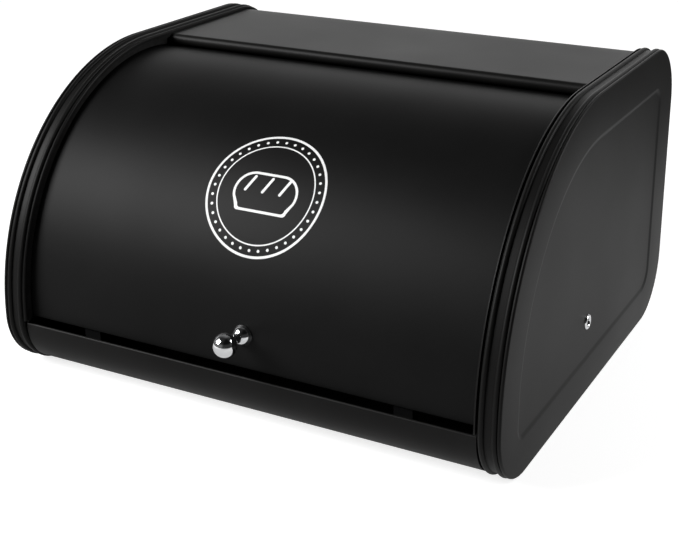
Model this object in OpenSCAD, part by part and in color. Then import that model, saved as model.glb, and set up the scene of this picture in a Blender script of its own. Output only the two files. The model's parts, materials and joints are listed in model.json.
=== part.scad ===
// Bread box with a roll top: two pressed end caps, one wrapped steel body and a turning lid.
// Millimetres. +X runs to the right, -Y is the front, +Z is up. The box stands on Z = 0, with the
// origin under the middle of its bounding box.

/* [Body] */
// Width across the flat faces of the two end caps
body_w = 346.3; // [300:0.1:400]
// Depth of the end caps, front to back
body_d = 317.7; // [300:0.1:360]
// Height of the end caps
body_h = 200; // [196:1:230]
// Height of the centre of the caps' front arc above the table
arc_h = 46.4; // [44:0.1:52]
// Height of the lid's pivot above the table
pivot_h = 50.8; // [50:0.1:54]
// Distance of the pivot in front of the arc's centre
pivot_forward = 5; // [3:0.1:5.5]
// Thickness of the steel sheet
sheet = 0.8; // [0.6:0.1:1]
// Depth of the wrapped body below the outline of the caps
wrap_inset = 3.5; // [3.5:0.1:4.5]
// Height of the body's bottom between the caps
wrap_bottom = 3; // [2.9:0.1:3.5]
// Radius of the body's lower front corner between the caps
wrap_corner = 33.2; // [30:0.1:36]
// Radius of the rolled front edge of the top
roll_r = 3.85; // [3:0.05:4]
// Distance of the rolled edge behind the arc's centre
roll_back = 24.3; // [22:0.1:34]
// Height of the front rail
rail_h = 36.4; // [34:0.1:38]

/* [End caps] */
// Radius of the lower front corner
front_corner = 41.7; // [38:0.1:43]
// Radius of the lower rear corner
rear_corner = 40.7; // [30:0.1:46]
// Radius of the upper rear corner
top_corner = 44.1; // [36:0.1:50]
// Width of the beaded flange
flange_w = 14.2; // [14.2:0.1:15]
// Depth of the side panel that is pressed in
panel_depth = 0.8; // [0.6:0.1:1.2]
// Width of the flat margin around the side panel
panel_margin = 28.6; // [26:0.1:34]

/* [Lid] */
// Distance of the lid's highest point below the top of the caps
lid_inset = 9.4; // [9.2:0.1:11]
// Angle of the lid's lower edge below the pivot's level
lid_low = 4.3; // [3.8:0.1:5]
// Angle of the lid's upper edge above the pivot's level
lid_high = 106; // [104:1:107]
// Angle of the middle of the printed badge above the pivot's level
badge_angle = 40.3; // [36:0.1:46]
// Diameter of the printed badge
badge_d = 80; // [60:1:90]
// Distance of the printed badge to the right of the middle
badge_shift = 2; // [-4:0.5:4]

/* [Knob] */
// Diameter of the ball
ball_d = 15; // [12:0.2:18]
// Distance of the ball's centre from the lid
ball_reach = 19.4; // [16:0.2:21]
// Diameter of the knob's foot
foot_d = 13.4; // [11:0.1:15]
// Angle of the knob above the pivot's level
knob_angle = 4.6; // [4:0.1:12]
// Distance of the knob to the right of the middle
knob_shift = 4.5; // [-6:0.5:6]

/* [Pivots] */
// Diameter of a pivot rivet's head
rivet_head_d = 10; // [9:0.5:13]
// Diameter of a pivot rivet's shank
rivet_d = 6.4; // [5:0.1:7]
// Running clearance between the shank and the lid's side plate
running_fit = 0.08; // [0.02:0.01:0.1]

/* [Hidden] */
$fn = 96;

half_w = body_w / 2;
arc_r = body_h - arc_h;
pivot_u = arc_r - pivot_forward;
lid_r = body_h - pivot_h - lid_inset;
ball_front = (lid_r + ball_reach) * cos(knob_angle) + ball_d / 2 - pivot_u;
front_y = (ball_front - body_d) / 2;
// The gap that faces within one body keep where they only rest on each other
rest_gap = 0.05;

// Flange: widths are measured inwards from the flat face of the cap
edge_r = 1.2;
edge_inset = edge_r + 0.3;
flange_floor = 1.7;
ridge = [4.3, 1.6, 1.78];
bead = [12.1, 1.9, 1.75];

// Pressed side panel
panel_r = arc_r - panel_margin;
panel_bottom = 25.4;
panel_rear = body_d - panel_margin - 2.8;
panel_corners = [8, 14, 12];
panel_slope = 1.5;

// Wrapped body
wrap_half = half_w - 4;
seam_w = 1.1;
lip_x = half_w - flange_w - seam_w;
lip_w = 1.4;
lip_peak = 1;
jamb_half = lip_x - lip_w;
jamb_r = lid_r + 1.2;
roll_u = arc_r + roll_back;
roll_v = body_h - wrap_inset - roll_r;
roll_half = jamb_half - 0.3;
hem_r = 1.1;

// Lid
side_x = half_w - 5.3;
lid_half = side_x + sheet;
return_flange = 8;
side_rim = 9;
side_gap = 10.5;

// Pivot stack, from the outside in
head_x = half_w - panel_depth;
spacer_x = head_x - sheet - rest_gap;
washer_w = 0.9;
rivet_bore_d = 4.8;
washer_x = side_x - 0.1;
rivet_end = washer_x - washer_w - 1.1;

// Knob screw
screw_r = 2;
screw_depth = 8;

// Stands children, drawn in the side view (depth, height) and as deep as the width, into place
module side_view() {
    translate([0, front_y, 0]) rotate([90, 0, 90]) children();
}

// Same, about the lid's pivot
module about_pivot() {
    side_view() translate([pivot_u, pivot_h, 0]) children();
}

// Turns children from the left end to the right one as well
module both_ends() {
    children();
    mirror([1, 0, 0]) children();
}

// Rounds one corner off a side outline: its square lies at [u, v] and its arc is centred on mid
module round_off(square_at, size, mid, r) {
    difference() {
        translate(square_at) square(size);
        translate(mid) circle(r);
    }
}

// Filled side outline: a big arc of radius r in front, and three rounded corners
module outline(r, rear, bottom, corners) {
    front = arc_r - r;
    top = arc_h + r;
    far = 2 * body_d;
    difference() {
        translate([front, bottom]) square([rear - front, top - bottom]);
        round_off([arc_r - far, arc_h], far, [arc_r, arc_h], r);
        round_off([front + corners[0] - far, bottom + corners[0] - far], far,
            [front + corners[0], bottom + corners[0]], corners[0]);
        round_off([rear - corners[1], bottom + corners[1] - far], far,
            [rear - corners[1], bottom + corners[1]], corners[1]);
        round_off([rear - corners[2], top - corners[2]], far,
            [rear - corners[2], top - corners[2]], corners[2]);
    }
}

// Outline of the caps, moved inwards by inset
module cap_outline(inset) {
    outline(arc_r - inset, body_d - inset, inset,
        [front_corner - inset, rear_corner - inset, top_corner - inset]);
}

// Outline of the body sheet between the caps, moved inwards by inset
module wrap_outline(inset) {
    depth = wrap_inset + inset;
    outline(arc_r - depth, body_d - depth, wrap_bottom + inset,
        [wrap_corner - inset, rear_corner - depth, top_corner - depth]);
}

// Outline of the pressed panel, grown by grow
module panel_outline(grow) {
    outline(panel_r + grow, panel_rear + grow, panel_bottom - grow,
        [for (c = panel_corners) c + grow]);
}

// Carries a section (x outwards, y across the width) around a quarter circle about mid
module quarter(mid, from, r) {
    translate(mid) rotate([0, 0, from]) rotate_extrude(angle = 90) translate([r, 0]) children();
}

// Carries the section straight on; heading 0 is the top, run from front to back
module straight(start, heading, length) {
    translate(start) rotate([0, 0, heading]) rotate([90, 0, 90]) linear_extrude(length) children();
}

// Carries the section up the front from a height of from, and over the big arc
module along_front(r, from) {
    straight([arc_r - r, from], 90, arc_h - from) children();
    quarter([arc_r, arc_h], 90, r) children();
}

// Carries the section along the top, around the upper rear corner and down the rear
module along_rear(r, rear, bottom, corners) {
    top = arc_h + r;
    straight([arc_r, top], 0, rear - corners[2] - arc_r) children();
    quarter([rear - corners[2], top - corners[2]], 0, corners[2]) children();
    straight([rear, top - corners[2]], -90, top - corners[2] - bottom - corners[1]) children();
}

// Carries the section around both lower corners and along the bottom
module along_bottom(r, rear, bottom, corners) {
    front = arc_r - r;
    quarter([rear - corners[1], bottom + corners[1]], -90, corners[1]) children();
    straight([rear - corners[1], bottom], 180, rear - corners[1] - front - corners[0]) children();
    quarter([front + corners[0], bottom + corners[0]], 180, corners[0]) children();
}

// Carries the section all the way round
module all_round(r, rear, bottom, corners) {
    along_front(r, bottom + corners[0]) children();
    along_rear(r, rear, bottom, corners) children();
    along_bottom(r, rear, bottom, corners) children();
}

cap_corners = [front_corner, rear_corner, top_corner];

// Section of the flange's skin, thinner by inner on every side; x outwards, y away from the face
module flange_shape(inner) {
    translate([-edge_inset, edge_r]) circle(edge_r - inner, $fn = 48);
    translate([-ridge[1], ridge[0]]) circle(ridge[2] - inner, $fn = 48);
    translate([-bead[1], bead[0]]) circle(bead[2] - inner, $fn = 48);
    translate([-wrap_inset + rest_gap - inner * 2, edge_r])
        square([wrap_inset - rest_gap - flange_floor + inner, flange_w - edge_r - inner]);
}

// Flange section: the pressed ridge and bead, the turned-down inner edge and the rounded outer edge
module flange_section() {
    difference() {
        intersection() {
            flange_shape(0);
            translate([-wrap_inset + rest_gap, 0]) square([wrap_inset - rest_gap, flange_w]);
        }
        flange_shape(sheet);
        translate([-wrap_inset - 1, sheet])
            square([wrap_inset + 1 - edge_inset, edge_r - sheet]);
    }
}

// Section of the sloping edge of the pressed panel, y outwards from the flat face
module panel_edge_section() {
    foot = panel_slope + 0.5;
    floor_y = -panel_depth;
    polygon([
        [-foot, floor_y], [-panel_slope, floor_y], [-panel_slope / 3, floor_y * 0.82],
        [panel_slope / 3, floor_y * 0.18], [panel_slope, 0], [foot, 0],
        [foot, -sheet], [panel_slope, -sheet], [panel_slope / 3, floor_y * 0.18 - sheet],
        [-panel_slope / 3, floor_y * 0.82 - sheet], [-panel_slope, floor_y - sheet],
        [-foot, floor_y - sheet]
    ]);
}

// Right end cap: beaded flange, flat face and pressed panel, with the hole for its pivot
module end_cap() {
    side_view() difference() {
        union() {
            translate([0, 0, half_w]) mirror([0, 0, 1])
                all_round(arc_r, body_d, 0, cap_corners) flange_section();
            translate([0, 0, half_w - sheet]) linear_extrude(sheet) difference() {
                cap_outline(edge_inset);
                panel_outline(panel_slope);
            }
            translate([0, 0, half_w])
                all_round(panel_r, panel_rear, panel_bottom, panel_corners) panel_edge_section();
            translate([0, 0, half_w - panel_depth - sheet]) linear_extrude(sheet)
                panel_outline(-panel_slope);
        }
        translate([pivot_u, pivot_h, half_w - 2]) cylinder(r = rivet_d / 2 + rest_gap, h = 5);
    }
}

module cap_right() {
    color("#3d3b39") end_cap();
}

module cap_left() {
    color("#3d3b39") mirror([1, 0, 0]) end_cap();
}

// Section of the folded lip that stands beside the flange, rounded towards the lid
module lip_section() {
    foot = -lip_peak - lip_w;
    translate([-wrap_inset - rest_gap, jamb_half]) square([foot + wrap_inset + rest_gap, lip_w]);
    translate([foot, lip_x]) intersection() {
        circle(lip_w, $fn = 48);
        translate([0, -lip_w]) square(lip_w);
    }
}

// Rolled front edge of the top, open at the back
module rolled_edge() {
    translate([roll_u, roll_v, -roll_half]) linear_extrude(2 * roll_half) difference() {
        circle(roll_r);
        circle(roll_r - sheet);
        polygon([[0, 0], [0, 2 * roll_r], [2 * roll_r, 2 * roll_r], [2 * roll_r, -roll_r]]);
    }
    translate([roll_u, body_h - wrap_inset - sheet, -roll_half])
        cube([hem_r * 2.5, sheet, 2 * roll_half]);
}

// Side wall of the lid's opening, from the lip down to just above the lid
module jamb() {
    translate([0, 0, jamb_half]) linear_extrude(sheet) intersection() {
        difference() {
            cap_outline(wrap_inset + sheet / 2);
            translate([pivot_u, pivot_h]) circle(jamb_r);
        }
        translate([pivot_u, pivot_h])
            polygon([[0, 0], [40, 240], [-240, 240], [-240, -20]]);
    }
}

// Edge of the body sheet under a cap's flange, and the step that leads down to it
module stepped_edge() {
    translate([0, 0, lip_x]) linear_extrude(wrap_half - lip_x) difference() {
        cap_outline(wrap_inset);
        cap_outline(wrap_inset + sheet);
    }
    translate([0, 0, lip_x - sheet]) linear_extrude(sheet) difference() {
        wrap_outline(0);
        cap_outline(wrap_inset + sheet);
    }
}

// Closed band of sheet around the body, cut out in front for the lid
module wrapped_sheet() {
    difference() {
        union() {
            translate([0, 0, -lip_x]) linear_extrude(2 * lip_x) difference() {
                wrap_outline(0);
                wrap_outline(sheet);
            }
            both_sides() stepped_edge();
        }
        translate([-1, rail_h, -jamb_half])
            cube([roll_u + 1 + hem_r * 2, body_h, 2 * jamb_half]);
    }
}

// Body sheet: front rail, bottom, back and top in one piece, with the opening for the lid
module body_wrap() {
    hem_half = jamb_half + sheet / 2;
    color("#4a4846") side_view() {
        wrapped_sheet();
        rolled_edge();
        translate([wrap_inset + hem_r + 0.15, rail_h, -hem_half])
            cylinder(r = hem_r, h = 2 * hem_half, $fn = 48);
        both_sides() {
            along_front(arc_r, rail_h - 0.5) lip_section();
            along_rear(arc_r, body_d, 0, cap_corners) lip_section();
            jamb();
        }
    }
}

// Repeats what is drawn in the side view on the other side
module both_sides() {
    children();
    mirror([0, 0, 1]) children();
}

// Two rubber buffers on the inside of the rail, that reach up to the lid's lower edge
module closing_buffers() {
    buffer_w = 12;
    color("#1c1c1c") side_view() for (x = [-110, 110]) translate([0, 0, x - buffer_w / 2])
        linear_extrude(buffer_w) intersection() {
            translate([wrap_inset + wrap_corner, wrap_bottom + wrap_corner])
                circle(wrap_corner - sheet - rest_gap);
            union() {
                translate([pivot_u, pivot_h]) rotate([0, 0, 180 + lid_low])
                    translate([lid_r - sheet - 7.6, rest_gap]) square([7, 16]);
                translate([wrap_inset, rail_h - hem_r - 13]) square([13, 12]);
            }
        }
}

// Section of a rivet's rolled head: half a ring that lies on the cap, x away from the axis
module head_section(ring) {
    difference() {
        translate([rivet_head_d / 2 - ring, 0]) circle(ring, $fn = 48);
        translate([0, -2 * ring]) square([rivet_head_d, 2 * ring]);
    }
}

// Pivot rivets: a rolled head outside, a hollow shank and a peened inner end
module pivot_rivets() {
    ring = 1.1;
    peen = 1.1 - rest_gap;
    color("#c9ccd0") both_ends() about_pivot() difference() {
        union() {
            translate([0, 0, head_x + rest_gap]) rotate_extrude() head_section(ring);
            translate([0, 0, rivet_end]) cylinder(r = rivet_d / 2, h = head_x + 1 - rivet_end);
            translate([0, 0, rivet_end]) cylinder(r = rivet_d / 2 + 1, h = peen);
        }
        translate([0, 0, head_x - 3]) cylinder(r = rivet_bore_d / 2, h = 6);
    }
}

// Nylon spacers between the caps and the lid's side plates
module pivot_spacers() {
    color("#e4e1d8") both_ends() about_pivot()
        translate([0, 0, lid_half + 0.1]) linear_extrude(spacer_x - lid_half - 0.1) difference() {
            circle(8);
            circle(rivet_d / 2 + rest_gap);
        }
}

// Steel washers under the peened ends of the rivets
module pivot_washers() {
    color("#b9bcc0") both_ends() about_pivot()
        translate([0, 0, washer_x - washer_w]) linear_extrude(washer_w) difference() {
            circle(7);
            circle(rivet_d / 2 + rest_gap);
        }
}

// Directions of the lid's two edges, seen from the pivot
lid_from = 180 - lid_high;
lid_span = lid_high + lid_low;

// Curved lid sheet with a return flange along each edge and the hole for the knob's screw
module lid_sheet() {
    flange_half = lid_half - side_gap;
    color("#2f2e2d") about_pivot() difference() {
        union() {
            rotate([0, 0, lid_from]) rotate_extrude(angle = lid_span)
                translate([lid_r - sheet, -lid_half]) square([sheet, 2 * lid_half]);
            rotate([0, 0, lid_from]) translate([lid_r - return_flange, 0, -flange_half])
                cube([return_flange - sheet / 2, sheet, 2 * flange_half]);
            rotate([0, 0, lid_from + lid_span])
                translate([lid_r - return_flange, -sheet, -flange_half])
                cube([return_flange - sheet / 2, sheet, 2 * flange_half]);
        }
        rotate([0, 0, 180 - knob_angle]) translate([0, 0, knob_shift]) rotate([0, 90, 0])
            cylinder(r = screw_r + 0.15, h = arc_r, $fn = 32);
    }
}

// Section of the side plate from the pivot out to its rim, x away from the pivot
module side_plate_section(rim_r) {
    polygon([
        [0, side_x], [rim_r - sheet, side_x], [rim_r - sheet, lid_half - side_rim],
        [rim_r, lid_half - side_rim], [rim_r, lid_half], [0, lid_half]
    ]);
}

// Right side plate of the lid: a sector on the pivot with a rim that backs the lid sheet
module side_plate() {
    rim_r = lid_r - sheet - rest_gap;
    trim = 0.6;
    fold = [rim_r - 40, sheet, 5.4];
    about_pivot() difference() {
        union() {
            rotate([0, 0, lid_from + trim]) rotate_extrude(angle = lid_span - 2 * trim)
                side_plate_section(rim_r);
            translate([0, 0, side_x]) cylinder(r = 16, h = sheet);
            rotate([0, 0, lid_from + trim]) translate([30, 0, side_x - 5]) cube(fold);
            rotate([0, 0, lid_from + lid_span - trim]) translate([30, -sheet, side_x - 5])
                cube(fold);
        }
        translate([0, 0, side_x - 6]) cylinder(r = rivet_d / 2 + running_fit, h = 12);
    }
}

module lid_side_right() {
    color("#2f2e2d") side_plate();
}

module lid_side_left() {
    color("#2f2e2d") mirror([1, 0, 0]) side_plate();
}

// Places children on the lid's outer surface, with +Z away from the lid
module on_lid(angle, shift) {
    about_pivot() rotate([0, 0, 180 - angle]) translate([0, 0, shift]) rotate([0, 90, 0])
        translate([0, 0, lid_r]) children();
}

// Full cylinder of the lid's outer surface, grown by grow
module lid_cylinder(grow) {
    about_pivot() translate([0, 0, -half_w]) cylinder(r = lid_r + grow, h = body_w, $fn = 180);
}

// Turned knob: foot, neck and ball, with a blind thread for its screw
module knob() {
    dome_r = foot_d / 2 - 0.3;
    neck_r = 2.9;
    color("#d3d6d9") difference() {
        on_lid(knob_angle, knob_shift) difference() {
            union() {
                translate([0, 0, -0.4]) cylinder(r = foot_d / 2, h = 1.4);
                sphere(dome_r);
                cylinder(r = neck_r, h = ball_reach);
                translate([0, 0, ball_reach]) sphere(ball_d / 2);
            }
            translate([0, 0, -dome_r - 1]) cylinder(r = foot_d, h = dome_r + 0.6);
            translate([0, 0, -2]) cylinder(r = screw_r + rest_gap, h = screw_depth + 2, $fn = 32);
        }
        lid_cylinder(0);
    }
}

// Washer under the head of the knob's screw
module knob_washer() {
    color("#b9bcc0") on_lid(knob_angle, knob_shift) translate([0, 0, -sheet - 1.1])
        linear_extrude(0.8) difference() {
            circle(5, $fn = 48);
            circle(screw_r + 0.15, $fn = 32);
        }
}

// Cross-head screw that holds the knob from inside
module knob_screw() {
    head_h = 2.4;
    head_z = -sheet - 1.15 - head_h;
    color("#b9bcc0") on_lid(knob_angle, knob_shift) difference() {
        union() {
            translate([0, 0, head_z]) cylinder(r = screw_r, h = screw_depth - 0.5 - head_z, $fn = 32);
            translate([0, 0, head_z]) cylinder(r = 3.9, h = head_h, $fn = 48);
        }
        for (turn = [0, 90]) rotate([0, 0, turn]) translate([-2.2, -0.4, head_z - 1])
            cube([4.4, 0.8, 2.4]);
    }
}

// Flat artwork of the badge: two rings, a row of dots and a loaf with three cuts
module badge_artwork() {
    outer = badge_d / 2;
    dots = 36;
    difference() {
        circle(outer);
        circle(outer - 1.5);
    }
    difference() {
        circle(outer - 7.4);
        circle(outer - 8.2);
    }
    for (i = [0 : dots - 1]) rotate([0, 0, i * 360 / dots])
        translate([outer - 4.45, 0]) circle(0.9, $fn = 24);
    difference() {
        loaf(0);
        loaf(1.6);
    }
    for (i = [-1 : 1]) translate([i * 12, 5]) rotate([0, 0, -24])
        translate([-0.9, -6]) square([1.8, 12]);
}

// Loaf seen from the side, thinner by inner on every side
module loaf(inner) {
    length = 44;
    height = 26;
    crown = 13;
    translate([-length / 2 + 4 + inner, -height / 2 + inner])
        square([length - 8 - 2 * inner, height - crown]);
    translate([-length / 2 + crown, height / 2 - crown]) circle(crown - inner);
    translate([length / 2 - crown, height / 2 - crown]) circle(crown - inner);
    translate([-length / 2 + crown, height / 2 - crown])
        square([length - 2 * crown, crown - inner]);
}

// Printed badge, as thick as its ink
module lid_badge() {
    ink = 0.2;
    color("white") intersection() {
        difference() {
            lid_cylinder(ink);
            lid_cylinder(0);
        }
        on_lid(badge_angle, badge_shift) translate([0, 0, -12]) rotate([0, 0, 180])
            linear_extrude(20) badge_artwork();
    }
}

cap_left();
cap_right();
body_wrap();
closing_buffers();
pivot_rivets();
pivot_spacers();
pivot_washers();
lid_sheet();
lid_side_left();
lid_side_right();
knob();
knob_washer();
knob_screw();
lid_badge();
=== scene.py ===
"""Bread box with a roll top: looks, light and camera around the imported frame. Metres, +Z up."""

import json
import math

import bmesh
import bpy
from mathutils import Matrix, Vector


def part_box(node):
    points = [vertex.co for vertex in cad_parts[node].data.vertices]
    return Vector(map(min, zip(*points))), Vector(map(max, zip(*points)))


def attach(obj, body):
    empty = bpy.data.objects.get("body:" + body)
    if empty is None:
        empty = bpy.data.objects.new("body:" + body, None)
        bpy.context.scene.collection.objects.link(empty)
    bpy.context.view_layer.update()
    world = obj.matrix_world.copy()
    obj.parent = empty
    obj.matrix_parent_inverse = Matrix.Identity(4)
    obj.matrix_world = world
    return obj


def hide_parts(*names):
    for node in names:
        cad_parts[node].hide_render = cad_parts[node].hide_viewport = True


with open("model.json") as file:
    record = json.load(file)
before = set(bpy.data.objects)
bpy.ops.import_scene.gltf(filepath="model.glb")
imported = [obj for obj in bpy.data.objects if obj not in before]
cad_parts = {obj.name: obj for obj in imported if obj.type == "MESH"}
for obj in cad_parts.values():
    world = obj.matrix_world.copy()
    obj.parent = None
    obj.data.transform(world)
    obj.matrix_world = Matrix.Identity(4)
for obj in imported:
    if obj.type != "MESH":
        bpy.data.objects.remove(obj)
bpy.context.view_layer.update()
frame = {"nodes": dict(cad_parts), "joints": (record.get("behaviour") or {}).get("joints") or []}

MM = 0.001

# ---------------------------------------------------------------- sizes taken from the frame

cap_low, cap_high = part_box("cap_right")
wrap_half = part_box("body_wrap")[1].x
lid_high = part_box("lid_sheet")[1]
rivet_low, rivet_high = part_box("pivot_rivets")
badge_low, badge_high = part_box("lid_badge")
knob_low, knob_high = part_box("knob")
pivot = Vector(frame["joints"][0]["pos_m"])

front, rear, top = cap_low.y, cap_high.y, cap_high.z
lid_r = lid_high.z - pivot.z
lid_half = lid_high.x

# ---------------------------------------------------------------- sizes the frame doesn't state

sheet = 0.8 * MM
panel_depth = 0.8 * MM
half_w = cap_high.x
flange_w = half_w - cap_low.x
wrap_inset = 3.5 * MM
front_corner, rear_corner, top_corner = 41.7 * MM, 40.7 * MM, 44.1 * MM
wrap_bottom, wrap_corner = 3 * MM, 33.2 * MM
rail_z = 36.4 * MM

# The big arc of the caps' front
arc_z = 46.4 * MM
arc_r = top - arc_z
arc_y = front + arc_r

# Flange beads: distance from the flat face, depth of the centre below the outline, radius
edge_bead = (1.2 * MM, 1.5 * MM, 1.2 * MM)
ridge = (4.2 * MM, 1.8 * MM, 1.77 * MM)
bead = (12.1 * MM, 1.9 * MM, 1.75 * MM)
groove_depth = 1.8 * MM

lip_w = 1.4 * MM
lip_crest = 1 * MM
seam_w = 1.1 * MM
seam_depth = 5 * MM
lip_x = half_w - flange_w - seam_w
jamb_half = lip_x - lip_w
jamb_r = lid_r + 1.2 * MM
roll_r = 3.85 * MM
roll_y = arc_y + 24.3 * MM
roll_z = top - wrap_inset - roll_r
hem_r = 1.1 * MM

panel_margin = 28.6 * MM
panel_rear = rear - panel_margin - 2.8 * MM
panel_bottom = 25.4 * MM
panel_corners = (8 * MM, 14 * MM, 12 * MM)
panel_slope = 2 * MM

lid_start = math.radians(74)
lid_end = math.radians(184.3)

knob_angle = math.radians(4.6)
knob_x = (knob_low.x + knob_high.x) / 2
ball_r = (knob_high.x - knob_low.x) / 2
ball_reach = 19.4 * MM

badge_angle = math.radians(40.3)
badge_x = (badge_low.x + badge_high.x) / 2
badge_r = (badge_high.x - badge_low.x) / 2
ink = 0.12 * MM


# ---------------------------------------------------------------- mesh helpers

def add_piece(name, builders, body, material, replaces):
    """Makes one object of several builders' faces, settles its normals and rides it on a body."""
    weld = 1e-6
    crease = math.radians(35)
    mesh = bpy.data.meshes.new(name)
    bm = bmesh.new()
    for build in builders:
        build(bm)
    bmesh.ops.remove_doubles(bm, verts=bm.verts, dist=weld)
    bmesh.ops.recalc_face_normals(bm, faces=bm.faces)
    bm.to_mesh(mesh)
    bm.free()
    mesh.shade_smooth()
    mesh.set_sharp_from_angle(angle=crease)
    piece = bpy.data.objects.new(name, mesh)
    bpy.context.scene.collection.objects.link(piece)
    mesh.materials.append(material)
    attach(piece, body)
    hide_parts(*replaces)


def loft(rows, close_rows=False, cap_ends=False, mirror=False):
    """Quads between rings of points. close_rows joins the last ring to the first one, and
    cap_ends fills the first and the last ring."""
    def build(bm):
        sign = -1 if mirror else 1
        made = [[bm.verts.new((sign * p[0], p[1], p[2])) for p in row] for row in rows]
        count = len(made)
        for i in range(count if close_rows else count - 1):
            a, b = made[i], made[(i + 1) % count]
            for j in range(len(a)):
                k = (j + 1) % len(a)
                bm.faces.new((a[j], a[k], b[k], b[j]))
        if cap_ends:
            bm.faces.new(made[0])
            bm.faces.new(made[-1])
    return build


def both_sides(make):
    """The same builders for the right side and, mirrored, for the left one."""
    return [make(False), make(True)]


def arc(centre, radius, start, end, steps):
    """Stations along an arc: a point in the side view (y, z) and its outward direction."""
    stations = []
    for i in range(steps + 1):
        a = math.radians(start + (end - start) * i / steps)
        out = Vector((math.cos(a), math.sin(a)))
        stations.append((Vector(centre) + out * radius, out))
    return stations


def line(start, end, out, steps):
    """Stations along a straight, both ends left out."""
    a, b = Vector(start), Vector(end)
    return [(a.lerp(b, i / steps), Vector(out)) for i in range(1, steps)]


def outline(radius, back, bottom, corners):
    """Stations all the way round a side outline: the big arc, the top, the rear and the bottom."""
    head, nose = arc_z + radius, arc_y - radius
    low_front, low_rear, high_rear = corners
    stations = arc((arc_y, arc_z), radius, 180, 90, 72)
    stations += line((arc_y, head), (back - high_rear, head), (0, 1), 14)
    stations += arc((back - high_rear, head - high_rear), high_rear, 90, 0, 18)
    stations += line((back, head - high_rear), (back, bottom + low_rear), (1, 0), 10)
    stations += arc((back - low_rear, bottom + low_rear), low_rear, 0, -90, 18)
    stations += line((back - low_rear, bottom), (nose + low_front, bottom), (0, -1), 18)
    stations += arc((nose + low_front, bottom + low_front), low_front, -90, -180, 18)
    stations += line((nose, bottom + low_front), (nose, arc_z), (-1, 0), 3)
    return stations


cap_outline = outline(arc_r, rear, 0, (front_corner, rear_corner, top_corner))
wrap_outline = outline(arc_r - wrap_inset, rear - wrap_inset, wrap_bottom,
                       (wrap_corner, rear_corner - wrap_inset, top_corner - wrap_inset))
panel_outline = outline(arc_r - panel_margin, panel_rear, panel_bottom, panel_corners)


def at_depth(station, depth):
    """The point in the side view that lies that deep below a station."""
    point, out = station
    return point - out * depth


def swept(stations, section):
    """Rows of points: a section of (x, depth) pairs carried along the stations."""
    return [[(x, *at_depth(s, depth)) for x, depth in section] for s in stations]


# ---------------------------------------------------------------- end caps

def bead_depth(s):
    """Depth of the pressed flange at a distance s from the flat face, valleys rounded."""
    softness = 0.12 * MM
    total = math.exp(-groove_depth / softness)
    for centre, depth, radius in (edge_bead, ridge, bead):
        off = abs(s - centre)
        if off < radius:
            total += math.exp(-(depth - math.sqrt(radius * radius - off * off)) / softness)
    return -softness * math.log(total)


def flange_profile():
    """Outer skin of the flange from the flat face to the edge that is turned down on the body."""
    centre, depth, radius = edge_bead
    turn = 0.3 * MM
    clear = 0.05 * MM
    last = flange_w - turn - clear
    edge_steps, skin_steps, turn_steps = 8, 84, 5
    points = []
    for i in range(edge_steps):
        a = math.pi / 2 * i / edge_steps
        points.append((centre - radius * math.cos(a), depth - radius * math.sin(a)))
    for i in range(skin_steps + 1):
        s = centre + (last - centre) * i / skin_steps
        points.append((s, bead_depth(s)))
    shoulder = points[-1][1]
    for i in range(1, turn_steps + 1):
        a = math.pi / 2 * i / turn_steps
        points.append((last + turn * math.sin(a), shoulder + turn * (1 - math.cos(a))))
    points.append((flange_w - clear, wrap_inset - 2 * clear))
    return [(half_w - s, d) for s, d in points]


def inner_skin(profile):
    """The same profile, a sheet's thickness further in."""
    inner = []
    for i, (x, d) in enumerate(profile):
        x0, d0 = profile[max(i - 1, 0)]
        x1, d1 = profile[min(i + 1, len(profile) - 1)]
        along = Vector((x1 - x0, d1 - d0)).normalized()
        inner.append((x + along.y * sheet, d - along.x * sheet))
    return inner


def panel_profile():
    """(offset from the panel's outline, height above the flat face) down the pressed slope."""
    steps = 10
    points = []
    for i in range(steps + 1):
        t = i / steps
        height = -panel_depth * (1 - math.cos(math.pi * t)) / 2
        points.append((panel_slope * (1 - 2 * t), height))
    return points


def cap_skin(thickness):
    """Rows of the cap's skin from the flange's free edge to the pressed panel's rim."""
    profile = flange_profile()
    flange = profile if thickness == 0 else inner_skin(profile)
    rows = [[(x, *at_depth(s, d)) for s in cap_outline] for x, d in reversed(flange)]
    for offset, height in panel_profile():
        x = half_w + height - thickness
        rows.append([(x, *at_depth(s, -offset)) for s in panel_outline])
    return rows


def cap(mirror):
    """Builder of a closed end cap: outer skin, inner skin, free edge and both panel faces."""
    outer, inner = cap_skin(0), cap_skin(sheet)
    rows = [outer[-1]] + outer[::-1][1:] + inner
    return loft(rows, cap_ends=True, mirror=mirror)


# ---------------------------------------------------------------- wrapped body

def strip(path, half_width, columns):
    """A closed sheet: a planar path of (outer point, outward direction) drawn across the width."""
    loop = [p for p, _ in path] + [p - out * sheet for p, out in reversed(path)]
    rows = []
    for i in range(columns + 1):
        x = half_width * (2 * i / columns - 1)
        rows.append([(x, p[0], p[1]) for p in loop])
    return loft(rows, cap_ends=True)


def sheet_path():
    """Outer skin of the body sheet: the curl of the top's front edge, the top, the rear, the
    bottom, the rail and the hem along the rail's upper edge."""
    gap = 0.5 * MM
    curl = arc((roll_y, roll_z), roll_r, 333, 90, 40)
    start = next(i for i, s in enumerate(wrap_outline) if s[0][0] > roll_y + gap)
    end = next(i for i in range(len(wrap_outline) - 1, 0, -1)
               if wrap_outline[i][0][1] < rail_z - gap) + 1
    hem = arc((front + wrap_inset + hem_r, rail_z), hem_r, 180, -80, 26)
    return curl + wrap_outline[start:end] + hem


def lip_section(foot):
    """Closed section of the folded lip, rounded towards the lid, down to a depth of foot."""
    steps = 8
    points = [(jamb_half, foot)]
    for i in range(steps + 1):
        a = math.pi / 2 * i / steps
        points.append((lip_x - lip_w * math.cos(a), lip_crest + lip_w - lip_w * math.sin(a)))
    points.append((lip_x, foot))
    return points


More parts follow.
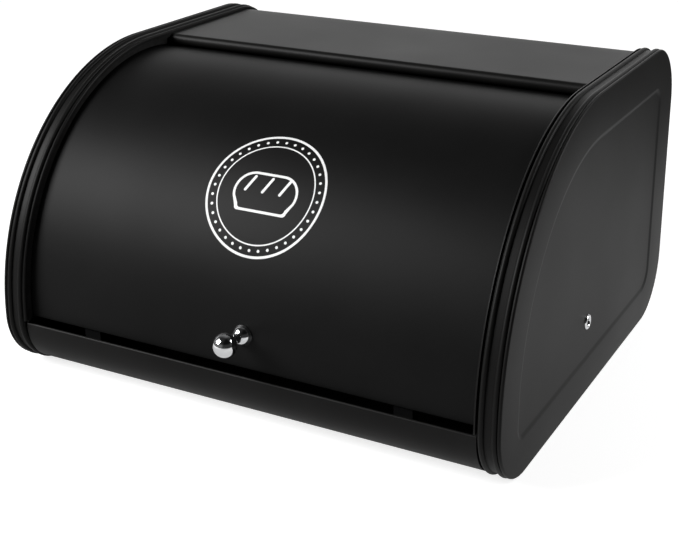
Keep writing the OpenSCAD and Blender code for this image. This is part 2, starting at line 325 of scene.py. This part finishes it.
def lip(mirror):
    """The lip that runs beside the flange from the rail over the top and down the rear."""
    lip_foot = wrap_inset + 0.2 * MM
    rear_band = rear - 2 * MM
    low = line((front, rail_z + sheet), (front, arc_z), (-1, 0), 4)
    end = next(i for i, s in enumerate(cap_outline)
               if s[0][0] > rear_band and s[0][1] < rear_corner)
    stations = low + cap_outline[:end]
    return loft(swept(stations, lip_section(lip_foot)), cap_ends=True, mirror=mirror)


def jamb(mirror):
    """Wall of the lid's opening, from under the lip down to just above the lid."""
    low = line((front, rail_z), (front, arc_z), (-1, 0), 4)
    end = next(i for i, s in enumerate(cap_outline) if s[0][0] > roll_y)
    rows = []
    for point, out in low + cap_outline[:end]:
        inwards = Vector((point.x - pivot.y, point.y - pivot.z)).normalized()
        head = point - out * wrap_inset
        foot = Vector((pivot.y, pivot.z)) + inwards * jamb_r
        rows.append([(jamb_half, *head), (jamb_half, *foot), (jamb_half + sheet, *foot),
                     (jamb_half + sheet, *head)])
    return loft(rows, cap_ends=True, mirror=mirror)


def stepped_edge(mirror):
    """Edge of the body sheet under the cap's flange, with the step that leads down to it."""
    inner, outer = lip_x - sheet, lip_x - 0.05 * MM
    rows = []
    for skin, rim in zip(wrap_outline, cap_outline):
        head = at_depth(skin, sheet / 2)
        floor_at, under = at_depth(rim, seam_depth), at_depth(rim, seam_depth + sheet)
        rows.append([(inner, *head), (outer, *head), (outer, *floor_at), (wrap_half, *floor_at),
                     (wrap_half, *under), (inner, *under)])
    return loft(rows, close_rows=True, mirror=mirror)


# ---------------------------------------------------------------- lid

def lid_path():
    """Outer skin of the lid with both edges bent inwards."""
    centre = (pivot.y, pivot.z)
    bend = 0.8 * MM
    bend_steps = 6
    turn = bend / lid_r
    flange = 8 * MM
    path = []
    for edge, side in ((lid_start, -1), (lid_end, 1)):
        stations = []
        inner = edge - side * turn
        out = Vector((math.cos(inner), math.sin(inner)))
        along = Vector((-out.y, out.x)) * side
        corner = Vector(centre) + out * (lid_r - bend)
        for i in range(1, bend_steps + 1):
            a = math.pi / 2 * i / bend_steps
            direction = out * math.cos(a) + along * math.sin(a)
            stations.append((corner + direction * bend, direction))
        stations.append((corner + along * bend - out * (flange - bend), along))
        path.append(stations)
    middle = arc(centre, lid_r, math.degrees(lid_start + turn), math.degrees(lid_end - turn), 110)
    return path[0][::-1] + middle + path[1]


# ---------------------------------------------------------------- lathe work

def lathe(origin, axis, profile):
    """Closed turned body: profile of (distance along the axis, radius) from end to end."""
    steps = 64
    axis = Vector(axis).normalized()
    side = axis.cross(Vector((0, 0, 1)) if abs(axis.z) < 0.9 else Vector((1, 0, 0))).normalized()
    other = axis.cross(side)
    origin = Vector(origin)

    def build(bm):
        rows = []
        for along, radius in profile:
            centre = origin + axis * along
            if radius < 1e-6:
                rows.append([bm.verts.new(centre)])
                continue
            row = []
            for i in range(steps):
                a = 2 * math.pi * i / steps
                row.append(bm.verts.new(centre + (side * math.cos(a) + other * math.sin(a)) * radius))
            rows.append(row)
        for a, b in zip(rows, rows[1:]):
            for i in range(steps):
                k = (i + 1) % steps
                if len(a) == 1:
                    bm.faces.new((a[0], b[k], b[i]))
                elif len(b) == 1:
                    bm.faces.new((a[i], a[k], b[0]))
                else:
                    bm.faces.new((a[i], a[k], b[k], b[i]))
    return build


def round_over(centre, radius, start, end, steps):
    """Profile points of an arc; angle 0 points outwards and 90 along the axis."""
    points = []
    for i in range(steps + 1):
        a = math.radians(start + (end - start) * i / steps)
        points.append((centre[0] + radius * math.sin(a), centre[1] + radius * math.cos(a)))
    return points


def knob_profile():
    """Turned knob: rounded foot with a domed top, thin neck with a fillet, and the ball."""
    foot_r, neck_r = 6.6 * MM, 2.8 * MM
    rim = 0.9 * MM
    rim_r = rim * 0.4
    dome, dome_sink, dome_steps = 6.4 * MM, 0.35 * MM, 14
    fillet = 0.9 * MM
    profile = [(0.05 * MM, 0)]
    profile += round_over((rim * 0.45, foot_r - rim_r), rim_r, -90, 30, 6)
    for i in range(1, dome_steps + 1):
        a = math.radians(12 + 46 * i / dome_steps)
        profile.append((dome * math.sin(a) - dome_sink, dome * math.cos(a)))
    along = profile[-1][0] + 0.5 * MM
    profile += round_over((along + fillet, neck_r + fillet), -fillet, 75, 0, 8)
    start = math.degrees(math.asin(neck_r / ball_r))
    profile += round_over((ball_reach, 0), ball_r, -90 + start + 4, 90, 56)
    return profile


def rivet_profile():
    """Rolled rivet head round a hollow shank; the axis points out of the box."""
    ring = 1.1 * MM
    head_r = (rivet_high.z - rivet_low.z) / 2
    shank_r, bore_r, peen_r = 3.2 * MM, 2.4 * MM, 4.2 * MM
    inner_end = 8.5 * MM
    profile = [(-inner_end, 0), (-inner_end, peen_r - 0.3 * MM), (-inner_end + 0.3 * MM, peen_r),
               (-inner_end + 0.8 * MM, peen_r), (-inner_end + MM, shank_r), (0.05 * MM, shank_r),
               (0.05 * MM, head_r - 0.1 * MM)]
    profile += round_over((0.1 * MM, head_r - ring), ring, 4, 176, 24)
    profile += [(-0.3 * MM, bore_r + 0.2 * MM), (-0.6 * MM, bore_r), (-3 * MM, bore_r), (-3 * MM, 0)]
    return profile


# ---------------------------------------------------------------- printed badge

def on_lid(angle):
    """Directions on the lid at an angle above the pivot's level: outwards and upwards."""
    out = Vector((0, -math.cos(angle), math.sin(angle)))
    up = Vector((0, math.sin(angle), math.cos(angle)))
    return out, up


def printed(loop_a, loop_b):
    """Ink between two closed loops of flat points (x, up), laid on the lid's cylinder."""
    out, up = on_lid(badge_angle)
    under = 0.02 * MM

    def place(point, height):
        x, y = point
        lift = math.sqrt((lid_r + height) ** 2 - y * y)
        return Vector((badge_x + x, pivot.y, pivot.z)) + up * y + out * lift

    def build(bm):
        corners = ((under, loop_a), (ink, loop_a), (ink, loop_b), (under, loop_b))
        loops = [[bm.verts.new(place(p, height)) for p in loop] for height, loop in corners]
        count = len(loop_a)
        for k in range(4):
            a, b = loops[k], loops[(k + 1) % 4]
            for i in range(count):
                j = (i + 1) % count
                bm.faces.new((a[i], a[j], b[j], b[i]))
    return build


def ring_points(centre, radius, count):
    """Flat points round a circle."""
    return [(centre[0] + radius * math.cos(2 * math.pi * i / count),
             centre[1] + radius * math.sin(2 * math.pi * i / count)) for i in range(count)]


def disc(centre, radius):
    """Dot of ink: nearly filled, so that it stays a strip between two loops."""
    count = 20
    return printed(ring_points(centre, radius, count), ring_points(centre, radius * 0.02, count))


def badge_builders():
    """Two rings, a row of dots and a loaf with three cuts."""
    rings = ((badge_r, 1.5 * MM), (badge_r - 7.4 * MM, 0.8 * MM))
    ring_count, dot_count = 144, 36
    dot_reach, dot_r = badge_r - 4.45 * MM, 0.9 * MM
    loaf_stroke = 1.6 * MM
    cut_gap, cut_up = 12 * MM, 5 * MM
    builders = []
    for outer, width in rings:
        builders.append(printed(ring_points((0, 0), outer, ring_count),
                                ring_points((0, 0), outer - width, ring_count)))
    for centre in ring_points((0, 0), dot_reach, dot_count):
        builders.append(disc(centre, dot_r))
    builders.append(printed(loaf_points(0), loaf_points(loaf_stroke)))
    for i in (-1, 0, 1):
        builders.append(slash((i * cut_gap, cut_up)))
    return builders


def loaf_points(inner):
    """Outline of a loaf seen from the side, thinner by inner on every side."""
    half, crown, base = 22 * MM, 13 * MM, -13 * MM
    corner = 2.4 * MM
    foot = half - 4 * MM - inner
    crown_steps, corner_steps = 24, 6
    radius = crown - inner
    points = []
    for centre, start in ((half - crown, -20), (-half + crown, 90)):
        for i in range(crown_steps + 1):
            a = math.radians(start + 110 * i / crown_steps)
            points.append((centre + radius * math.cos(a), radius * math.sin(a)))
    for centre, start in ((-foot + corner, 180), (foot - corner, 270)):
        for i in range(corner_steps + 1):
            a = math.radians(start + 90 * i / corner_steps)
            points.append((centre + corner * math.cos(a), base + inner + corner + corner * math.sin(a)))
    return points


def slash(centre):
    """One slanting cut with round ends."""
    half, length, lean = 0.9 * MM, 5.1 * MM, math.radians(66)
    steps = 8
    along = Vector((math.cos(lean), math.sin(lean)))
    across = Vector((-along.y, along.x))

    def loop(width):
        points = []
        for end, start in ((1, -90), (-1, 90)):
            for i in range(steps + 1):
                a = math.radians(start + 180 * i / steps)
                offset = along * (math.cos(a) * width) + across * (math.sin(a) * width)
                point = Vector(centre) + along * (end * length) + offset
                points.append((point.x, point.y))
        return points
    return printed(loop(half), loop(half * 0.03))


# ---------------------------------------------------------------- materials

class Nodes:
    """Small helper around one material's node tree, with noise in the object's own space."""

    def __init__(self, name):
        self.material = bpy.data.materials.new(name)
        self.material.use_nodes = True
        self.tree = self.material.node_tree
        self.shader = self.tree.nodes["Principled BSDF"]
        self.place = self.tree.nodes.new("ShaderNodeTexCoord").outputs["Object"]

    def set(self, **values):
        for key, value in values.items():
            self.shader.inputs[key.replace("_", " ")].default_value = value

    def noise(self, scale, detail=2.0, rough=0.5):
        node = self.tree.nodes.new("ShaderNodeTexNoise")
        node.inputs["Scale"].default_value = scale
        node.inputs["Detail"].default_value = detail
        node.inputs["Roughness"].default_value = rough
        self.tree.links.new(self.place, node.inputs["Vector"])
        return node.outputs["Fac"]

    def between(self, fac, low, high, start=0.3, end=0.7):
        node = self.tree.nodes.new("ShaderNodeMapRange")
        node.inputs["From Min"].default_value = start
        node.inputs["From Max"].default_value = end
        node.inputs["To Min"].default_value = low
        node.inputs["To Max"].default_value = high
        self.tree.links.new(fac, node.inputs["Value"])
        return node.outputs["Result"]

    def blend(self, fac, a, b):
        node = self.tree.nodes.new("ShaderNodeMix")
        node.data_type = "RGBA"
        for socket, value in ((node.inputs[0], fac), (node.inputs[6], a), (node.inputs[7], b)):
            if hasattr(value, "is_output"):
                self.tree.links.new(value, socket)
            else:
                socket.default_value = value
        return node.outputs[2]

    def math(self, operation, a, b):
        node = self.tree.nodes.new("ShaderNodeMath")
        node.operation = operation
        for socket, value in zip(node.inputs, (a, b)):
            if hasattr(value, "is_output"):
                self.tree.links.new(value, socket)
            else:
                socket.default_value = value
        return node.outputs[0]

    def bump(self, height, distance):
        node = self.tree.nodes.new("ShaderNodeBump")
        node.inputs["Strength"].default_value = 1.0
        node.inputs["Distance"].default_value = distance
        self.tree.links.new(height, node.inputs["Height"])
        self.tree.links.new(node.outputs["Normal"], self.shader.inputs["Normal"])

    def link(self, output, socket):
        self.tree.links.new(output, self.shader.inputs[socket])


def grey(value, warm=0.0):
    """A grey, a little warm or plain."""
    return (value * (1 + warm), value, value * (1 - warm), 1)


def powder_paint(name, base, rough, shine, warm=0.0):
    """Satin black powder coat: mottled colour, fine orange peel, and paint worn thin on edges."""
    n = Nodes(name)
    n.set(Specular_IOR_Level=shine)
    mottle = n.between(n.noise(24, 3), 0, 1)
    speck = n.between(n.noise(2600, 1), 0, 1, 0.62, 0.78)
    colour = n.blend(mottle, grey(base * 0.85, warm), grey(base * 1.2, warm))
    colour = n.blend(n.math("MULTIPLY", speck, 0.25), colour, grey(base * 3.0))
    edge = n.tree.nodes.new("ShaderNodeNewGeometry").outputs["Pointiness"]
    worn = n.math("MULTIPLY", n.between(edge, 0, 1, 0.54, 0.62), n.between(n.noise(260, 4), 0.1, 0.8))
    colour = n.blend(worn, colour, grey(base * 3.5))
    n.link(colour, "Base Color")
    drift = n.between(n.noise(9, 2), rough - 0.025, rough + 0.025)
    n.link(n.math("SUBTRACT", drift, n.math("MULTIPLY", worn, 0.08)), "Roughness")
    peel = n.math("ADD", n.noise(950, 2), n.math("MULTIPLY", n.noise(3400, 1), 0.35))
    n.bump(peel, 0.012 * MM)
    return n.material


def plated_metal(name, tint, rough, scratch):
    """Plated metal: faint drift of tone, hairline scratches and slightly duller patches."""
    n = Nodes(name)
    n.set(Metallic=1.0)
    drift = n.between(n.noise(120, 3), 0, 1)
    n.link(n.blend(drift, (tint[0] * 0.95, tint[1] * 0.95, tint[2] * 0.95, 1), (*tint, 1)), "Base Color")
    patches = n.between(n.noise(400, 4), rough * 0.7, rough * 1.4)
    n.link(patches, "Roughness")
    n.bump(n.noise(1500, 3), scratch)
    return n.material


def plain_polymer(name, base, rough, grain, specular=0.5):
    """Moulded nylon or rubber: soft mottling and a fine grain."""
    n = Nodes(name)
    n.set(Specular_IOR_Level=specular)
    mottle = n.between(n.noise(90, 3), 0, 1)
    low = tuple(c * 0.88 for c in base)
    n.link(n.blend(mottle, (*low, 1), (*base, 1)), "Base Color")
    n.link(n.between(n.noise(300, 2), rough - 0.05, rough + 0.05), "Roughness")
    n.bump(n.noise(1800, 2), grain)
    return n.material


def screen_ink(name):
    """White screen-print ink: even, a little chalky, with pinholes too small to see from afar."""
    n = Nodes(name)
    cloud = n.between(n.noise(150, 3), 0, 1)
    colour = n.blend(cloud, grey(0.74), grey(0.82))
    pinholes = n.between(n.noise(2400, 2), 0, 1, 0.70, 0.76)
    n.link(n.blend(n.math("MULTIPLY", pinholes, 0.5), colour, grey(0.3)), "Base Color")
    n.link(n.between(n.noise(500, 2), 0.42, 0.56), "Roughness")
    n.bump(n.noise(2000, 2), 0.01 * MM)
    return n.material


body_paint = powder_paint("body_paint", 0.005, 0.45, 0.11, 0.03)
# The lid's coat is the body's black coat with a darker base: painted shade for the lid's darker tone.
lid_paint = powder_paint("lid_paint", 0.0035, 0.5, 0.1)
chrome = plated_metal("chrome", (0.86, 0.87, 0.88), 0.07, 0.004 * MM)
zinc = plated_metal("zinc", (0.62, 0.64, 0.67), 0.32, 0.02 * MM)
nylon = plain_polymer("nylon", (0.74, 0.72, 0.66), 0.42, 0.02 * MM)
rubber = plain_polymer("rubber", (0.004, 0.004, 0.0042), 0.85, 0.05 * MM, 0.05)
white_ink = screen_ink("white_ink")


# ---------------------------------------------------------------- pieces

add_piece("end_cap_right", [cap(False)], "body", body_paint, ["cap_right"])
add_piece("end_cap_left", [cap(True)], "body", body_paint, ["cap_left"])
add_piece("body_sheet", [strip(sheet_path(), lip_x, 12)]
          + both_sides(lip) + both_sides(jamb) + both_sides(stepped_edge),
          "body", body_paint, ["body_wrap"])
add_piece("curved_lid", [strip(lid_path(), lid_half, 16)], "lid", lid_paint,
          ["lid_sheet"])

knob_out, knob_up = on_lid(knob_angle)
knob_foot = Vector((knob_x, pivot.y, pivot.z)) + knob_out * lid_r
add_piece("ball_knob", [lathe(knob_foot, knob_out, knob_profile())], "lid", chrome,
          ["knob"])

rivet_x = half_w - panel_depth
add_piece("rivets", [lathe((side * rivet_x, pivot.y, pivot.z), (side, 0, 0), rivet_profile())
                     for side in (1, -1)],
          "body", chrome, ["pivot_rivets"])
add_piece("badge_print", badge_builders(), "lid", white_ink, ["lid_badge"])

# Pieces that are seen as the CAD made them, with their materials
carried_over = {
    "lid_side_left": lid_paint, "lid_side_right": lid_paint, "closing_buffers": rubber,
    "pivot_spacers": nylon, "pivot_washers": zinc, "knob_washer": zinc, "knob_screw": zinc,
}
for name, material in carried_over.items():
    part = frame["nodes"][name]
    part.data.materials.clear()
    part.data.materials.append(material)


# ---------------------------------------------------------------- floor, light and camera

def floor():
    """A wide pale floor at the object's feet: white to the eye; to reflections its colour is painted
    light, pale near the object and darker further away, and it glows in a painted patch of light beside
    its right side."""
    mesh = bpy.data.meshes.new("floor")
    size = 30
    mesh.from_pydata([(-size, -size, 0), (size, -size, 0), (size, size, 0), (-size, size, 0)], [],
                     [(0, 1, 2, 3)])
    plane = bpy.data.objects.new("floor", mesh)
    bpy.context.scene.collection.objects.link(plane)
    n = Nodes("floor_paper")
    split = n.tree.nodes.new("ShaderNodeSeparateXYZ")
    n.tree.links.new(n.place, split.inputs[0])

    def reach_from(x, y):
        aside = n.math("SUBTRACT", split.outputs["X"], x)
        beyond = n.math("SUBTRACT", split.outputs["Y"], y)
        squares = n.math("ADD", n.math("MULTIPLY", aside, aside), n.math("MULTIPLY", beyond, beyond))
        return n.math("SQRT", squares, 0)

    seen = n.tree.nodes.new("ShaderNodeLightPath").outputs["Is Camera Ray"]
    paper = n.blend(n.between(n.noise(3, 2), 0, 1), grey(0.49), grey(0.51))
    # Painted light for reflections: the floor's colour is pale near the object and falls to dark further
    # away.
    painted_light_falloff = n.between(reach_from(-0.1, -0.35), 0.55, 0.08, 0.5, 1.1)
    n.link(n.blend(seen, n.blend(painted_light_falloff, grey(0), grey(1)), paper), "Base Color")
    # Painted light: for rays other than the camera's the floor glows in a soft patch beside the object's
    # right side.
    painted_light_patch = n.between(reach_from(0.31, 0.17), 0.5, 0, 0.14, 0.6)
    glow = n.math("ADD", n.math("MULTIPLY", seen, 0.78),
                  n.math("MULTIPLY", n.math("SUBTRACT", 1, seen), painted_light_patch))
    n.link(glow, "Emission Strength")
    n.set(Roughness=0.9, Specular_IOR_Level=0.1, Emission_Color=grey(1))
    mesh.materials.append(n.material)


def softbox(name, direction, distance, size, power):
    """A rectangular soft light that faces the middle of the box."""
    light = bpy.data.lights.new(name, "AREA")
    light.shape = "RECTANGLE"
    light.size, light.size_y = size
    light.energy = power
    lamp = bpy.data.objects.new(name, light)
    bpy.context.scene.collection.objects.link(lamp)
    towards = Vector(direction).normalized()
    aim = Vector((0, 0, pivot.z))
    lamp.location = aim + towards * distance
    lamp.rotation_euler = towards.to_track_quat("Z", "Y").to_euler()


def studio_world():
    """A room with a pale backdrop behind and to the left, dim overhead and to the right of it;
    plain pale to the eye."""
    world = bpy.data.worlds.new("studio")
    bpy.context.scene.world = world
    world.use_nodes = True
    tree = world.node_tree
    back = tree.nodes["Background"]
    place = tree.nodes.new("ShaderNodeTexCoord").outputs["Generated"]
    split = tree.nodes.new("ShaderNodeSeparateXYZ")
    tree.links.new(place, split.inputs[0])

    def ramp(axis, start, end, low, high):
        node = tree.nodes.new("ShaderNodeMapRange")
        node.interpolation_type = "SMOOTHSTEP"
        node.inputs["From Min"].default_value = start
        node.inputs["From Max"].default_value = end
        node.inputs["To Min"].default_value = low
        node.inputs["To Max"].default_value = high
        tree.links.new(split.outputs[axis], node.inputs["Value"])
        return node.outputs["Result"]

    def times(a, b):
        node = tree.nodes.new("ShaderNodeMath")
        node.operation = "MULTIPLY"
        tree.links.new(a, node.inputs[0])
        tree.links.new(b, node.inputs[1])
        return node.outputs[0]

    backdrop = times(ramp("Y", -0.1, 0.6, 0.12, 1.0), ramp("X", -0.1, 0.35, 1.3, 0.25))
    room = times(backdrop, ramp("Z", 0.35, 0.6, 1.0, 0.15))
    seen = tree.nodes.new("ShaderNodeLightPath").outputs["Is Camera Ray"]
    pick = tree.nodes.new("ShaderNodeMix")
    tree.links.new(seen, pick.inputs["Factor"])
    tree.links.new(room, pick.inputs["A"])
    pick.inputs["B"].default_value = 1.0
    tree.links.new(pick.outputs["Result"], back.inputs["Strength"])
    back.inputs["Color"].default_value = (1, 1, 1, 1)


def camera():
    """The photograph's viewpoint: about 18 degrees down, 28 degrees round to the right."""
    data = bpy.data.cameras.new("camera")
    data.sensor_width = 36
    data.lens = 71.39
    data.shift_y = -0.1606
    data.clip_start, data.clip_end = 0.05, 100
    eye = bpy.data.objects.new("camera", data)
    bpy.context.scene.collection.objects.link(eye)
    eye.location = (0.40042, -0.75971, 0.40596)
    eye.rotation_euler = (math.radians(90 - 17.797), 0, math.radians(28.097))
    bpy.context.scene.camera = eye


floor()
softbox("left_softbox", (-0.60, -0.58, 0.55), 1.5, (0.8, 0.8), 30)
softbox("right_softbox", (0.77, 0.41, 0.49), 1.6, (0.7, 1.0), 16)
studio_world()
camera()
bpy.context.scene.view_settings.view_transform = "Standard"
